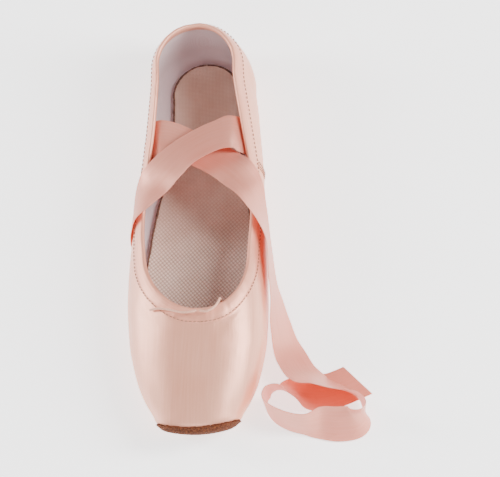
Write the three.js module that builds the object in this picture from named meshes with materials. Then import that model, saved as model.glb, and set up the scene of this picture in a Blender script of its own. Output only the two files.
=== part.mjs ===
// A satin pointe shoe, standing on its sole, with its two ribbons and its drawstring ends.
// Millimetres, +Z up. The toe points along -Y, the heel along +Y, and +X is the side the ribbons lie on.
// The origin is on the floor, in the middle of the shoe's own length and width.
import * as THREE from "three";

// ---------------------------------------------------------------- driving dimensions
const LENGTH = 240; // from the face of the toe patch to the back of the heel
const PATCH_THICKNESS = 1.2; // suede over the platform
const GAP = 0.3; // clearance between pieces that touch
const WALL = 1.8; // satin, canvas and lining of the sides
const PATCH_REACH = 2.4; // how far it runs over the platform's rim
const PLATFORM_WALL = 4; // paste-stiffened end of the box
const PLATFORM_ROUND = 5; // radius round the rim of the platform
const PLATFORM_ROUND_INSIDE = 3;
const UNDERCUT = { slope: 0.38, from: 24, reach: 32 }; // how the platform leans back below a height
const CROWN = 0.008; // and how it falls back from its middle, per mm squared
const UNDERSIDE_SQUARENESS = 3.6; // superellipse power of the sections below their widest line

const HEEL_START = 210; // where the stations stop running along the shoe and turn round the heel
const HEEL_DEPTH = 30 - PATCH_THICKNESS - GAP; // from there to the back of the heel
const HEEL_END = 240; // station number of the back seam, a quarter turn after HEEL_START

// Last sections. Stations are numbered in mm from the platform.
//   wide   half width            wideZ  height of the widest line   top   height of the ridge
//   base   height of the underside      round  superellipse power above the widest line
//   curve  how far the section's middle lies to +X       lean  how much further its ridge does
const LAST = table(
  ["at", "wide", "wideZ", "top", "base", "round", "curve", "lean"],
  [
    [0, 22.6, 16.0, 28.0, 5.0, 2.3, 0.0, 0.0],
    [8, 25.0, 16.4, 31.0, 4.2, 2.3, 0.0, 0.4],
    [18, 29.0, 17.0, 34.4, 3.4, 2.3, 0.0, 1.2],
    [30, 32.8, 17.5, 38.0, 3.0, 2.25, 0.0, 2.4],
    [42, 35.8, 17.9, 41.4, 2.8, 2.2, 0.0, 3.7],
    [56, 38.0, 18.3, 45.0, 2.8, 2.15, 0.0, 5.0],
    [78, 39.0, 18.8, 49.6, 2.8, 2.1, 0.0, 4.6],
    [100, 38.4, 19.4, 53.0, 3.9, 2.0, 0.4, 3.0],
    [125, 36.9, 20.2, 55.6, 7.6, 2.0, 1.8, 1.4],
    [150, 34.6, 20.9, 58.6, 9.8, 2.0, 2.9, 0.6],
    [175, 32.0, 21.0, 62.0, 7.4, 2.0, 3.4, -0.2],
    [195, 30.0, 21.0, 65.0, 3.0, 2.0, 3.5, -1.2],
    [205, 28.9, 21.0, 66.2, 2.8, 2.05, 3.5, -1.6],
    [240, 28.2, 21.0, 67.5, 2.8, 2.5, 3.5, -1.8],
  ],
);

// The collar's outer edge: its half width as a share of the section's, behind the curve of the throat.
const COLLAR = table(
  ["at", "share"],
  [
    [60, 0.62],
    [80, 0.7],
    [100, 0.765],
    [125, 0.825],
    [148, 0.83],
    [175, 0.785],
    [200, 0.75],
    [225, 0.79],
    [240, 0.86],
  ],
);
const THROAT = 64; // station of the throat's edge, at its middle
const THROAT_CURVE = 34; // how far the throat's curve runs back along the shoe
const THROAT_SQUARENESS = 2.3;
const BINDING_WIDTH = 9;
const BINDING_THICKNESS = 2.6;

// Half widths of the flat pieces underfoot.
const FOOT = table(
  ["at", "insole", "outsole"],
  [
    [20, 21, 19],
    [45, 28.5, 24.5],
    [75, 31, 26.5],
    [100, 30, 23.5],
    [125, 27.5, 18],
    [150, 23, 15],
    [175, 19.5, 15.5],
    [195, 18.5, 18],
    [212, 18.5, 19.5],
    [240, 18.5, 19.5],
  ],
);
const OUTSOLE = { front: 24, back: 234, thickness: 2.5, tip: 20, bevel: 0.9 };
const INSOLE = { front: 12, back: 228, thickness: 2, tip: 32, lift: 1.1 };
const LASTING_MARGIN = 4.5; // how far the upper runs in over the outsole's edge

const RIBBON_WIDTH = 22;
const RIBBON_THICKNESS = 0.8;
const RIBBON_CUT = 8; // how far one corner of a slantwise cut end stands past the other
const STRING_DIAMETER = 1.3;

// Mesh fineness.
const ROWS = { below: 6, above: 8 }; // of the upper on each side, parted by its widest line
const BINDING_ROWS = { below: 0, above: 3 };
const PATCH_ROWS = ROWS;
const CAP_RINGS = 3; // from the middle of a capped end to its rim
const RIBBON_STEPS = 3; // from one row of a ribbon's table to the next
const FINE = 96; // samples along a half section before it is spaced evenly

// ---------------------------------------------------------------- tables and small helpers
function table(columns, rows) {
  return { columns, rows };
}

// A smooth curve through one column of a table, with no overshoot (monotone cubic).
function read(source, column, at) {
  const k = source.columns.indexOf(column);
  const xs = source.rows.map((row) => row[0]);
  const ys = source.rows.map((row) => row[k]);
  if (at <= xs[0]) return ys[0];
  if (at >= xs[xs.length - 1]) return ys[ys.length - 1];
  const i = xs.findIndex((x) => x > at) - 1;
  const rise = (n) => (ys[n + 1] - ys[n]) / (xs[n + 1] - xs[n]);
  const slope = (n) => {
    if (n === 0) return rise(0);
    if (n === xs.length - 1) return rise(n - 1);
    const [a, b] = [rise(n - 1), rise(n)];
    return a * b <= 0 ? 0 : (2 * a * b) / (a + b);
  };
  const step = xs[i + 1] - xs[i];
  const u = (at - xs[i]) / step;
  return (
    ys[i] * (1 + 2 * u) * (1 - u) ** 2 +
    slope(i) * step * u * (1 - u) ** 2 +
    ys[i + 1] * u * u * (3 - 2 * u) +
    slope(i + 1) * step * u * u * (u - 1)
  );
}

const lerp = THREE.MathUtils.lerp;

// Numbers from a to b in n steps, close together near a.
function easedIn(a, b, n) {
  return Array.from({ length: n + 1 }, (_, k) => a + (b - a) * (1 - Math.cos((k / n) * Math.PI * 0.5)));
}

function evenly(a, b, n) {
  return Array.from({ length: n + 1 }, (_, k) => lerp(a, b, k / n));
}

// Collects faces and gives one mesh geometry. Faces whose corners meet are dropped.
class Skin {
  constructor() {
    this.corners = [];
  }
  triangle(a, b, c) {
    const near = (p, q) => p.distanceTo(q) < 2e-3;
    if (near(a, b) || near(b, c) || near(c, a)) return;
    this.corners.push(...[a, b, c].flatMap((p) => p.toArray()));
  }
  quad(a, b, c, d, flip = false) {
    if (flip) [b, d] = [d, b];
    this.triangle(a, b, c);
    this.triangle(a, c, d);
  }
  // The faces between two lines of points.
  strip(one, other, flip = false) {
    for (let i = 0; i + 1 < one.length; i++) this.quad(one[i], other[i], other[i + 1], one[i + 1], flip);
  }
  geometry() {
    const positions = new THREE.Float32BufferAttribute(this.corners, 3);
    return new THREE.BufferGeometry().setAttribute("position", positions);
  }
}

// ---------------------------------------------------------------- the last
// How much a section shrinks near the platform, where its rim is rounded.
function rimInset(at, radius) {
  return at >= radius ? 0 : radius - Math.sqrt(radius ** 2 - (radius - Math.max(at, 0)) ** 2);
}

// A point of the last at a station, at an angle from -90 degrees (underside) to +90 (ridge), moved out by
// grow. side is -1 or +1. shift moves the toe end of the surface, for the inside of the box.
function lastPoint(at, angle, side, grow = 0, shift = 0, rim = PLATFORM_ROUND) {
  const s = Object.fromEntries(LAST.columns.map((name) => [name, read(LAST, name, at)]));
  const out = grow - rimInset(at - shift, rim);
  const power = 2 / (angle > 0 ? s.round : UNDERSIDE_SQUARENESS);
  const across = Math.abs(Math.cos(angle)) ** power;
  const up = Math.abs(Math.sin(angle)) ** power;
  const z = angle > 0 ? s.wideZ + (s.top + out - s.wideZ) * up : s.wideZ - (s.wideZ - s.base + out) * up;
  const turn = (Math.max(at - HEEL_START, 0) / (HEEL_END - HEEL_START)) * Math.PI * 0.5;
  const lean = angle > 0 ? s.lean * up ** 1.5 : 0;
  const x = s.curve + lean + side * (s.wide + out) * across * Math.cos(turn);
  const y = stationY(Math.min(at, HEEL_START)) + (HEEL_DEPTH + grow) * across * Math.sin(turn);
  return new THREE.Vector3(x, y + setBack(at, x, z), z);
}

// How far back a point near the platform lies, because the platform leans under the toe and is crowned.
function setBack(at, x, z) {
  const near = 1 - THREE.MathUtils.clamp(at / UNDERCUT.reach, 0, 1);
  return (UNDERCUT.slope * (UNDERCUT.from - z) + CROWN * x ** 2) * near ** 1.5;
}

function stationY(at) {
  return at - LENGTH / 2 + PATCH_THICKNESS + GAP;
}

// The angle at which a section's half width is this share of its widest.
function angleOf(share, power) {
  return Math.acos(THREE.MathUtils.clamp(share, 0, 1) ** (power / 2));
}

// Points spaced evenly along a half section, from one angle to another.
function halfSection(at, from, to, rows, side, ...surface) {
  const fine = evenly(from, to, FINE).map((angle) => lastPoint(at, angle, side, ...surface));
  const along = [0];
  for (let i = 1; i < fine.length; i++) along.push(along[i - 1] + fine[i].distanceTo(fine[i - 1]));
  return evenly(0, along[FINE], rows).map((want) => {
    const i = Math.min(Math.max(along.findIndex((d) => d >= want), 1), FINE);
    return fine[i - 1].clone().lerp(fine[i], (want - along[i - 1]) / (along[i] - along[i - 1]));
  });
}

// How far a throat has opened at a station, from 0 at its front to 1 where its curve ends.
function throatOpening(at, front, length) {
  const left = 1 - THREE.MathUtils.clamp((at - front) / length, 0, 1);
  return (1 - left ** THROAT_SQUARENESS) ** (1 / THROAT_SQUARENESS);
}

// The angle of the collar's edge at a station. In front of the throat it is the ridge.
function collarAngle(at) {
  const share = read(COLLAR, "share", at) * throatOpening(at, THROAT, THROAT_CURVE);
  return angleOf(share, read(LAST, "round", at));
}

// Half width of a flat piece with rounded ends.
function footWidth(at, column, { front, back, tip }) {
  if (at <= front || at >= back) return 0;
  const start = 1 - Math.min((at - front) / tip, 1);
  const heel = Math.max(at - HEEL_START, 0) / (back - HEEL_START);
  return read(FOOT, column, at) * Math.sqrt(1 - start ** 2) * Math.sqrt(1 - heel ** 2);
}

// ---------------------------------------------------------------- the upper
const SEAM = THROAT - BINDING_WIDTH;

// The angle of the seam under the binding: the binding's width down the section from the collar, and the
// same distance in front of the throat, less a gap.
function seamAngle(at, gap = 0) {
  if (at <= SEAM + gap) return Math.PI / 2;
  const round = read(LAST, "round", at);
  const collar = angleOf(read(COLLAR, "share", at), round);
  const rise = read(LAST, "top", at) - read(LAST, "wideZ", at);
  const perRadian = Math.hypot(read(LAST, "wide", at) * Math.sin(collar), rise * Math.cos(collar));
  const share = Math.cos(collar - (BINDING_WIDTH - gap) / perRadian) ** (2 / round);
  return angleOf(share * throatOpening(at, SEAM + gap, THROAT_CURVE + BINDING_WIDTH - gap), round);
}

// The angle of the edge where the upper ends under the foot.
function lastingAngle(at) {
  if (at <= OPEN_UNDER) return -Math.PI / 2;
  const start = 1 - Math.min((at - OPEN_UNDER) / OUTSOLE.tip, 1);
  const half = (read(FOOT, "outsole", Math.min(at, HEEL_START)) - LASTING_MARGIN) * Math.sqrt(1 - start ** 2);
  return -angleOf(half / read(LAST, "wide", at), UNDERSIDE_SQUARENESS);
}

// A wall between two surfaces of the last, from its low edge to its high edge. Where both sides' edges meet
// in the middle the wall is closed there, and elsewhere it has a rim. A capped wall has faces across its
// first station, and one with a mouth has a rim round its last.
function wall({ stations, low, high, rows, outer, inner, capped, mouth }) {
  const skin = new Skin();
  const lines = (surface, side) =>
    stations.map((at) => {
      const on = surface(at);
      const [from, to] = [low(on.at), high(on.at)];
      if (!rows.below) return halfSection(on.at, from, to, rows.above, side, ...on.place);
      const below = halfSection(on.at, from, 0, rows.below, side, ...on.place);
      return [...below, ...halfSection(on.at, 0, to, rows.above, side, ...on.place).slice(1)];
    });
  const sides = [-1, 1].map((side) => ({ side, out: lines(outer, side), within: lines(inner, side) }));
  const meets = (edge, i) => Math.abs(edge(stations[i])) > Math.PI / 2 - 1e-9;
  const top = rows.below + rows.above;
  const end = stations.length - 1;
  for (const { side, out, within } of sides) {
    for (let i = 0; i < end; i++) {
      skin.strip(out[i], out[i + 1], side < 0);
      skin.strip(within[i], within[i + 1], side > 0);
      if (!meets(low, i + 1)) skin.quad(out[i][0], within[i][0], within[i + 1][0], out[i + 1][0], side < 0);
      if (!meets(high, i + 1)) {
        skin.quad(out[i][top], within[i][top], within[i + 1][top], out[i + 1][top], side > 0);
      }
    }
    if (capped) {
      cap(skin, outer(stations[0]).at, out[0], side < 0);
      cap(skin, inner(stations[0]).at, within[0], side > 0);
    }
    if (mouth) skin.strip(out[end], within[end], side < 0);
  }
  return skin.geometry();
}

// One side's half of a capped end, in rings from its middle out to the wall, crowned like the wall's rim.
function cap(skin, at, rim, flip) {
  const height = (rim[0].z + rim[rim.length - 1].z) / 2;
  const flat = rim[0].y - setBack(at, rim[0].x, rim[0].z);
  const inside = (p, share) => {
    const [x, z] = [p.x * share, lerp(height, p.z, share)];
    return new THREE.Vector3(x, flat + setBack(at, x, z), z);
  };
  const ring = (k) => rim.map((p) => (k === CAP_RINGS ? p : inside(p, k / CAP_RINGS)));
  for (let k = 0; k < CAP_RINGS; k++) skin.strip(ring(k), ring(k + 1), flip);
}

const OPEN_UNDER = OUTSOLE.front + LASTING_MARGIN;
const STATIONS = [
  ...easedIn(0, PLATFORM_ROUND, 4),
  ...evenly(PLATFORM_ROUND, OPEN_UNDER, 4).slice(1),
  ...easedIn(OPEN_UNDER, OPEN_UNDER + OUTSOLE.tip, 4).slice(1),
  ...easedIn(SEAM, THROAT, 4),
  ...easedIn(THROAT, THROAT + THROAT_CURVE, 6).slice(1),
  ...evenly(THROAT + THROAT_CURVE, HEEL_START, 16).slice(1),
  ...evenly(HEEL_START, HEEL_END, 8).slice(1),
];

function upper() {
  return wall({
    stations: STATIONS,
    low: lastingAngle,
    high: (at) => seamAngle(at),
    rows: ROWS,
    outer: (at) => ({ at, place: [0] }),
    inner: (at) => ({
      at: at < OPEN_UNDER ? lerp(PLATFORM_WALL, OPEN_UNDER, at / OPEN_UNDER) : at,
      place: [-WALL, PLATFORM_WALL, PLATFORM_ROUND_INSIDE],
    }),
    capped: true,
  });
}

// ---------------------------------------------------------------- binding and toe patch
// The casing that the drawstring runs in, a little prouder than the upper on both faces.
function binding() {
  const proud = (BINDING_THICKNESS - WALL) / 2;
  return wall({
    stations: [SEAM + GAP, ...STATIONS.filter((at) => at > SEAM + 2 * GAP)],
    low: (at) => seamAngle(at, GAP),
    high: collarAngle,
    rows: BINDING_ROWS,
    outer: (at) => ({ at, place: [proud] }),
    inner: (at) => ({ at, place: [-WALL - proud] }),
  });
}

// The suede patch, cut between two larger copies of the upper's own platform and its rounded rim.
function toeTip() {
  const grown = (grow) => (at) => ({
    at: lerp(-grow, PLATFORM_ROUND, at / PLATFORM_ROUND),
    place: [grow, -grow, PLATFORM_ROUND + grow],
  });
  return wall({
    stations: easedIn(0, PATCH_REACH, 4),
    low: () => -Math.PI / 2,
    high: () => Math.PI / 2,
    rows: PATCH_ROWS,
    outer: grown(GAP + PATCH_THICKNESS),
    inner: grown(GAP),
    capped: true,
    mouth: true,
  });
}

// ---------------------------------------------------------------- insole and outsole
// Height of the last's underside at a distance along the shoe and from its middle, moved out by grow.
function undersideZ(at, x, grow) {
  const s = Object.fromEntries(LAST.columns.map((name) => [name, read(LAST, name, at)]));
  const back = Math.max(at - HEEL_START, 0) / (HEEL_DEPTH + grow);
  const across = Math.min(Math.hypot(x / (s.wide + grow), back), 1);
  const depth = s.wideZ - s.base + grow;
  return s.wideZ - depth * (1 - across ** UNDERSIDE_SQUARENESS) ** (1 / UNDERSIDE_SQUARENESS);
}

// A plate with rounded ends. top and bottom give its heights at a distance along and a share of its width.
function plate(column, size, top, bottom) {
  const skin = new Skin();
  const stations = [
    ...easedIn(size.front, size.front + size.tip, 5),
    ...evenly(size.front + size.tip, HEEL_START, 18).slice(1),
    ...easedIn(size.back, HEEL_START, 6).reverse().slice(1),
  ];
  const shares = [-1, -0.965, -0.75, -0.4, 0, 0.4, 0.75, 0.965, 1];
  const line = (at, height) => {
    const half = footWidth(at, column, size);
    return shares.map((share) => {
      const x = read(LAST, "curve", at) + share * half;
      return new THREE.Vector3(x, stationY(at), height(at, share * half, Math.abs(share)));
    });
  };
  const tops = stations.map((at) => line(at, top));
  const bottoms = stations.map((at) => line(at, bottom));
  for (let i = 0; i + 1 < stations.length; i++) {
    skin.strip(tops[i], tops[i + 1], true);
    skin.strip(bottoms[i], bottoms[i + 1]);
    skin.quad(tops[i][0], bottoms[i][0], bottoms[i + 1][0], tops[i + 1][0], true);
    const last = shares.length - 1;
    skin.quad(tops[i][last], bottoms[i][last], bottoms[i + 1][last], tops[i + 1][last]);
  }
  return skin.geometry();
}

function outsole() {
  const floor = (at) => read(LAST, "base", at) - GAP - OUTSOLE.thickness;
  return plate(
    "outsole",
    OUTSOLE,
    (at, x) => undersideZ(at, x, GAP),
    (at, x, share) => floor(at) + (share === 1 ? OUTSOLE.bevel : 0),
  );
}

function insole() {
  const lies = (at, x) => undersideZ(at, x, -WALL - INSOLE.lift);
  return plate("insole", INSOLE, (at, x) => lies(at, x) + INSOLE.thickness, lies);
}

// ---------------------------------------------------------------- ribbons and drawstring
// Each row is a place on a ribbon's middle line and the direction across it, from its heelward edge at the
// start to its toeward edge. Lengths of the directions don't matter.
const ACROSS = ["x", "y", "z", "ax", "ay", "az"];

// Sewn inside the wall at +X. It crosses over the other ribbon and goes down the far side, and its end is
// tucked under the arch in three layers.
const RIBBON_RIGHT = table(ACROSS, [
  [31.6, 50.5, 29, 0.07, -1, 0],
  [29.1, 50.5, 38, 0.07, -1, 0],
  [25.2, 50, 44.6, 0, -1, 0.15],
  [20, 49, 49, 0, -1, 0.3],
  [10, 45.5, 50.5, 0.3, -0.9, 0.35],
  [-3, 38.5, 50.5, 0.38, -0.86, 0.34],
  [-12.5, 30.5, 49.4, 0.45, -0.86, 0.22],
  [-19.4, 24, 46.8, 0.45, -0.87, 0.15],
  [-26.2, 18, 43.2, 0.36, -0.84, 0.36],
  [-32.2, 13.8, 37, 0.09, -0.9, 0.46],
  [-34.9, 11, 27.8, -0.03, -0.9, 0.42],
  [-35.8, 9, 19.5, -0.13, -0.95, 0.3],
  [-35.4, 9, 11.5, -0.14, -0.98, 0.12],
  [-31, 12.5, 5, -0.05, -1, 0.04],
  [-22.5, 18.5, 1.6, 0, -1, 0],
  [-10, 24, 0.9, 0, -1, 0],
  [8, 27, 0.8, 0, -1, 0],
  [20, 28.5, 0.9, 0, -1, 0],
  [27, 29, 1.1, 0, -1, 0],
  [31, 29.2, 2.1, 0, -1, 0],
  [32.2, 29.3, 3.9, 0, -1, 0],
  [30.2, 29.4, 5.2, 0, -1, 0],
  [25, 29.6, 4.5, 0, -1, 0],
  [16, 29.7, 2.8, 0, -1, 0],
  [4, 29.8, 2.2, 0, -1, 0],
  [-6, 30, 2.1, 0, -1, 0],
  [-12.5, 30.1, 2.1, 0, -1, 0],
  [-16, 30.1, 2.1, 0, -1, 0],
  [-18.1, 30.1, 2.2, 0, -1, 0],
  [-19.4, 30.1, 3, 0, -1, 0],
  [-19.4, 30.1, 4.3, 0, -1, 0],
  [-18.1, 30.1, 5.1, 0, -1, 0],
  [-15.5, 30.1, 5.2, 0, -1, 0],
  [-11, 30.1, 5, 0, -1, 0],
  [-4, 30, 4.7, 0, -1, 0],
  [5, 29.7, 4.6, 0, -1, 0],
  [15, 29.4, 4.8, 0, -1, 0],
]);

// Sewn inside the wall at -X. It crosses under the other ribbon, falls past the near side of the box, turns
// back in a loop that stands on one edge, and ends flat on the floor behind that loop.
const RIBBON_LEFT = table(ACROSS, [
  [-26, 50.5, 29, -0.1, -1, 0],
  [-23.2, 50.5, 37.5, -0.08, -1, 0],
  [-18.6, 50.5, 42.6, 0.05, -1, 0],
  [-11, 48.5, 44, -0.1, -1, 0.15],
  [0, 43, 44.4, -0.25, -0.9, 0.25],
  [10, 37.5, 44.8, -0.3, -0.88, 0.3],
  [19, 31, 46.2, -0.4, -0.85, 0.3],
  [26.6, 24.3, 47, -0.4, -0.85, 0.22],
  [33.2, 15, 44.2, -0.4, -0.64, 0.52],
  [38, 3.5, 36.6, -0.14, -0.62, 0.76],
  [40.9, -9.8, 29.5, 0, -0.33, 0.95],
  [41.8, -27, 22.5, -0.08, -0.2, 0.97],
  [43.6, -39, 18, -0.2, -0.25, 0.94],
  [45.2, -51.5, 13.5, -0.36, -0.6, 0.74],
  [47.6, -62.5, 9.6, -0.46, -0.6, 0.63],
  [51.8, -72.5, 8, -0.68, -0.4, 0.58],
  [57.2, -81, 9.2, -0.42, -0.66, 0.62],
  [66.6, -86.5, 11, 0.02, -0.6, 0.8],
  [79, -92.5, 12, 0.1, -0.5, 0.86],
  [88.5, -98.5, 12.8, 0.12, -0.2, 0.97],
  [91.8, -106, 12, 0.12, 0.2, 0.97],
  [87, -111.5, 10.4, 0.05, 0.52, 0.85],
  [77, -112.4, 9.6, 0, 0.62, 0.78],
  [68, -111.4, 10, 0.03, 0.55, 0.84],
  [59, -112.4, 11.3, 0.05, 0.17, 0.98],
  [49.2, -110, 11.6, 0.05, 0.1, 0.99],
  [40.8, -105.2, 11.6, 0, 0.08, 1],
  [36, -99, 11.6, -0.02, 0.02, 1],
  [37.2, -93, 11.6, 0.05, -0.02, 1],
  [41.3, -90.6, 11.1, 0.2, -0.12, 0.97],
  [47.5, -90, 8.4, 0.3, -0.6, 0.72],
  [54, -89.4, 4.3, 0.2, -0.92, 0.32],
  [60.5, -89.3, 1.6, 0.05, -0.99, 0.06],
  [66.5, -89.2, 0.8, 0.1, -1, 0],
  [72, -88.6, 0.8, 0.25, -0.96, 0],
  [79, -86.2, 0.8, 0.37, -0.93, 0],
  [86.5, -83, 0.8, 0.39, -0.92, 0],
]);

// The two ends of the drawstring, over the vamp and along the throat's edge.
const POINT = ["x", "y", "z"];
const STRING_LEFT = table(POINT, [
  [3.2, -57.6, 50],
  [0, -58.6, 51],
  [-4, -58.4, 50.2],
  [-9, -56.6, 48.6],
  [-14, -54.6, 47],
  [-19, -53, 44.8],
  [-23.5, -52.2, 41.6],
]);
const STRING_RIGHT = table(POINT, [
  [5.2, -57.6, 50],
  [8.5, -58.8, 51],
  [12, -57.4, 50.7],
  [15, -54, 50.2],
  [16, -50.6, 48.6],
  [16, -49, 44.2],
  [16, -48.4, 39],
  [16, -48, 33],
]);

function smooth(source, columns) {
  const order = columns.map((column) => source.columns.indexOf(column));
  const points = source.rows.map((row) => new THREE.Vector3(...order.map((k) => row[k])));
  return new THREE.CatmullRomCurve3(points, false, "catmullrom", 0.5);
}

// A flat ribbon whose far end is cut slantwise.
function ribbon(source) {
  const skin = new Skin();
  const middleLine = smooth(source, ["x", "y", "z"]);
  const direction = smooth(source, ["ax", "ay", "az"]);
  const spans = source.rows.length - 1;
  const steps = spans * RIBBON_STEPS;
  const sections = evenly(0, 1, steps).map((u) => {
    const along = middleLine.getTangent(u);
    const across = direction.getPoint(u).projectOnPlane(along).setLength(RIBBON_WIDTH / 2);
    const up = along.clone().cross(across).setLength(RIBBON_THICKNESS / 2);
    const slant = Math.max(u * spans - spans + 1, 0);
    across.addScaledVector(along, (slant * RIBBON_CUT) / 2);
    const corner = (a, b) => middleLine.getPoint(u).addScaledVector(across, a).addScaledVector(up, b);
    return [-1, 1].map((b) => [-1, 1].map((a) => corner(a, b)));
  });
  for (let i = 0; i < steps; i++) {
    const [low, high] = sections[i];
    const [nextLow, nextHigh] = sections[i + 1];
    skin.strip(low, nextLow, true);
    skin.strip(high, nextHigh);
    for (const k of [0, 1]) skin.strip([low[k], high[k]], [nextLow[k], nextHigh[k]], k === 1);
  }
  const close = ([[a, b], [d, c]], flip) => skin.quad(a, b, c, d, flip);
  close(sections[0], true);
  close(sections[steps], false);
  return skin.geometry();
}

function drawstring(source) {
  const path = smooth(source, POINT);
  const section = new THREE.Shape(
    evenly(0, 7, 7).map((k) => {
      const angle = (k / 8) * Math.PI * 2;
      return new THREE.Vector2(Math.cos(angle), Math.sin(angle)).multiplyScalar(STRING_DIAMETER / 2);
    }),
  );
  const steps = Math.round(path.getLength() / (2.5 * STRING_DIAMETER));
  return new THREE.ExtrudeGeometry(section, { steps, extrudePath: path, bevelEnabled: false });
}

// ---------------------------------------------------------------- the shoe
function piece(name, geometry, colour, roughness) {
  const material = new THREE.MeshStandardMaterial({ color: colour, roughness, metalness: 0 });
  const mesh = new THREE.Mesh(geometry, material);
  mesh.name = name;
  return mesh;
}

const shoe = new THREE.Group();
shoe.add(piece("upper", upper(), 0xeccdbe, 0.35));
shoe.add(piece("outsole", outsole(), 0x8a6a50, 0.7));
shoe.add(piece("insole", insole(), 0xaf8c78, 0.9));
shoe.add(piece("toe_tip", toeTip(), 0xbe7d46, 1));
shoe.add(piece("binding", binding(), 0xe8c8be, 0.4));
shoe.add(piece("ribbon_right", ribbon(RIBBON_RIGHT), 0xebcdc8, 0.35));
shoe.add(piece("ribbon_left", ribbon(RIBBON_LEFT), 0xebcdc8, 0.35));
shoe.add(piece("drawstring_left", drawstring(STRING_LEFT), 0xf0d6c8, 0.6));
shoe.add(piece("drawstring_right", drawstring(STRING_RIGHT), 0xf0d6c8, 0.6));

export default shoe;
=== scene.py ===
"""A pale satin pointe shoe with crossed ribbons, standing on its sole on a white studio floor.

The shape comes from the same last as the CAD model, worked out here in millimetres on finer rows, and turned
into metres when a mesh is made. +Z is up, the toe is along -Y, and the ribbons lie on the +X side.
"""
import math

import bmesh
import bpy
from mathutils import Matrix, Vector, noise


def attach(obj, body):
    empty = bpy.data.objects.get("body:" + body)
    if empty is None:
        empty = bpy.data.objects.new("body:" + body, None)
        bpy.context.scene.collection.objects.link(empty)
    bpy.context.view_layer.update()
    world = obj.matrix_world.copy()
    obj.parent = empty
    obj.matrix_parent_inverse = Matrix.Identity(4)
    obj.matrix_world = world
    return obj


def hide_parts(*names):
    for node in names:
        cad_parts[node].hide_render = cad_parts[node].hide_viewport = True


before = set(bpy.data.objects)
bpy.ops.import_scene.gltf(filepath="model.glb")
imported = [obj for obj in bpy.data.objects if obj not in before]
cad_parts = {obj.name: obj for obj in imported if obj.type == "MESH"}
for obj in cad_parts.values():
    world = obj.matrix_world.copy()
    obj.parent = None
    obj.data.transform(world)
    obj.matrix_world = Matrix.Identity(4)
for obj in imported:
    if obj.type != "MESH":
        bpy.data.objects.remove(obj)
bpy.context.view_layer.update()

# ---------------------------------------------------------------- sizes, in millimetres
MM = 0.001
LENGTH = 240
PATCH = 1.2  # suede over the platform
GAP = 0.3
WALL = 1.8
PATCH_REACH = 2.4  # how far it runs over the platform's rim
PLATFORM_WALL = 4
PLATFORM_ROUND = 5
PLATFORM_ROUND_INSIDE = 3
UNDERCUT = {"slope": 0.38, "from": 24, "reach": 32}  # how the platform leans back below a height
CROWN = 0.008  # and how it falls back from its middle, per mm squared
UNDERSIDE_SQUARENESS = 3.6
HEEL_START = 210
HEEL_DEPTH = 30 - PATCH - GAP
HEEL_END = 240
THROAT = 64
THROAT_CURVE = 34
THROAT_SQUARENESS = 2.3
BINDING_WIDTH = 9
BINDING_THICKNESS = 2.6
TUCKED = 2.5  # how far the upper runs on under the binding
SEAM = THROAT - BINDING_WIDTH
OUTSOLE = {"front": 24, "back": 234, "thickness": 2.5, "tip": 20}
INSOLE = {"front": 12, "back": 228, "thickness": 2, "tip": 32, "lift": 1.1}
LASTING_MARGIN = 4.5
OPEN_UNDER = OUTSOLE["front"] + LASTING_MARGIN
RIBBON_WIDTH = 22
RIBBON_THICKNESS = 0.45
RIBBON_CUT = 8  # how far one corner of a slantwise cut end stands past the other
STRING_DIAMETER = 1.3
SIDE_SEAM = 155  # station of the seam between the front and back quarters
SEAM_ROWS = (-2.6, -1.2, 0.4, 1.8)  # its rows of stitches, before and behind it
PLEATS = {"start": 5, "end": 40, "depth": 0.55, "per_radian": 11}  # under the toe


def table(columns, rows):
    names = columns.split()
    return {name: [row[k] for row in rows] for k, name in enumerate(names)}


LAST = table("at wide wideZ top base round curve lean", [
    (0, 22.6, 16.0, 28.0, 5.0, 2.3, 0.0, 0.0),
    (8, 25.0, 16.4, 31.0, 4.2, 2.3, 0.0, 0.4),
    (18, 29.0, 17.0, 34.4, 3.4, 2.3, 0.0, 1.2),
    (30, 32.8, 17.5, 38.0, 3.0, 2.25, 0.0, 2.4),
    (42, 35.8, 17.9, 41.4, 2.8, 2.2, 0.0, 3.7),
    (56, 38.0, 18.3, 45.0, 2.8, 2.15, 0.0, 5.0),
    (78, 39.0, 18.8, 49.6, 2.8, 2.1, 0.0, 4.6),
    (100, 38.4, 19.4, 53.0, 3.9, 2.0, 0.4, 3.0),
    (125, 36.9, 20.2, 55.6, 7.6, 2.0, 1.8, 1.4),
    (150, 34.6, 20.9, 58.6, 9.8, 2.0, 2.9, 0.6),
    (175, 32.0, 21.0, 62.0, 7.4, 2.0, 3.4, -0.2),
    (195, 30.0, 21.0, 65.0, 3.0, 2.0, 3.5, -1.2),
    (205, 28.9, 21.0, 66.2, 2.8, 2.05, 3.5, -1.6),
    (240, 28.2, 21.0, 67.5, 2.8, 2.5, 3.5, -1.8),
])
COLLAR = table("at share", [
    (60, 0.62), (80, 0.7), (100, 0.765), (125, 0.825), (148, 0.83),
    (175, 0.785), (200, 0.75), (225, 0.79), (240, 0.86),
])
FOOT = table("at insole outsole", [
    (20, 21, 19), (45, 28.5, 24.5), (75, 31, 26.5), (100, 30, 23.5), (125, 27.5, 18),
    (150, 23, 15), (175, 19.5, 15.5), (195, 18.5, 18), (212, 18.5, 19.5), (240, 18.5, 19.5),
])


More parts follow.
